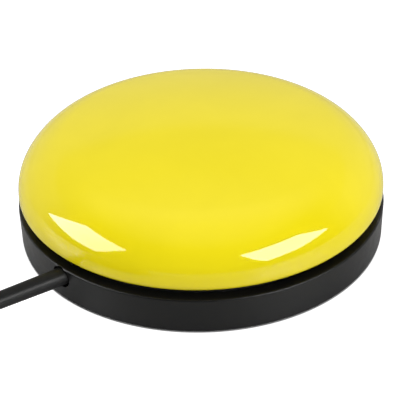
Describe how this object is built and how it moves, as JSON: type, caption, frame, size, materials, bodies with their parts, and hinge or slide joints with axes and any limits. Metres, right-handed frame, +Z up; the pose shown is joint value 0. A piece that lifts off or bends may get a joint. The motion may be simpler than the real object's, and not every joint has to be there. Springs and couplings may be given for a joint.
{
  "type": "accessible push switch",
  "caption": "Wide round push switch with a sprung domed cap on a low round base, and a thin lead that ends in a small audio plug.",
  "frame": {"origin": "middle of the resting face, on the surface that the base stands on", "axes": "+Z up towards the cap, -X towards the place where the lead leaves the base"},
  "size_m": [0.1638, 0.064, 0.0198],
  "materials": {
    "cap_yellow": "glossy moulded",
    "housing_black": "satin moulded",
    "carrier_black": "matt moulded",
    "pad_rubber": "matt",
    "insert_brass": "turned and knurled",
    "screw_steel": "zinc plated",
    "spring_steel": "drawn wire",
    "switch_plastic": "fine matt",
    "plunger_red": "smooth",
    "contact_metal": "silver plated",
    "cord_black": "satin vinyl",
    "wire_white": "smooth",
    "wire_red": "smooth",
    "tie_fabric": "hook and loop tape",
    "plug_metal": "nickel plated",
    "insulator_black": "smooth"
  },
  "bodies": {
    "base": {"base_housing": "housing_black", "foot_pad": "pad_rubber", "mounting_inserts": "insert_brass", "strain_relief": "cord_black", "cord_inner": "cord_black", "cord_clamp": "carrier_black", "cord_clamp_screws": "screw_steel", "microswitch_case": "switch_plastic", "microswitch_cover": "switch_plastic", "common_terminal": "contact_metal", "normally_open_terminal": "contact_metal", "normally_closed_terminal": "contact_metal", "switch_screws": "screw_steel", "lead_wire_common": "wire_white", "lead_wire_open": "wire_red", "cord_lead": "cord_black", "cord_coil": "cord_black", "coil_tie": "tie_fabric", "cord_tail": "cord_black", "plug_boot": "cord_black", "plug_handle": "cord_black", "plug_sleeve": "plug_metal", "plug_insulator": "insulator_black", "plug_tip": "plug_metal"},
    "plunger": {"switch_plunger": "plunger_red"},
    "springs": {"return_springs": "spring_steel"},
    "cap": {"dome_cap": "cap_yellow", "cap_carrier": "carrier_black", "retaining_screws": "screw_steel", "retaining_washers": "screw_steel"},
    "blade": {"switch_blade": "contact_metal"}
  },
  "joints": [
    {"name": "press", "type": "slide", "parent": "base", "child": "plunger", "axis": [0, 0, -1], "range_m": [0, 0.0008], "stiffness_N_per_m": 800, "springref_m": -0.001, "deforming": ["return_springs"]},
    {"name": "rock_x", "type": "hinge", "parent": "plunger", "child": "springs", "pos_m": [0, 0, 0.00475], "axis": [1, 0, 0], "range_deg": [-0.4, 0.4], "stiffness_Nm_per_rad": 0.5},
    {"name": "rock_y", "type": "hinge", "parent": "springs", "child": "cap", "pos_m": [0, 0, 0.00475], "axis": [0, 1, 0], "range_deg": [-0.4, 0.4], "stiffness_Nm_per_rad": 0.5},
    {"name": "blade_swing", "type": "hinge", "parent": "base", "child": "blade", "pos_m": [0, -0.0056, 0.00735], "axis": [-1, 0, 0], "range_deg": [0, 8.19]}
  ],
  "couplings": [
    {"joint": "blade_swing", "follows": "press", "rad_per_m": 178.5}
  ]
}
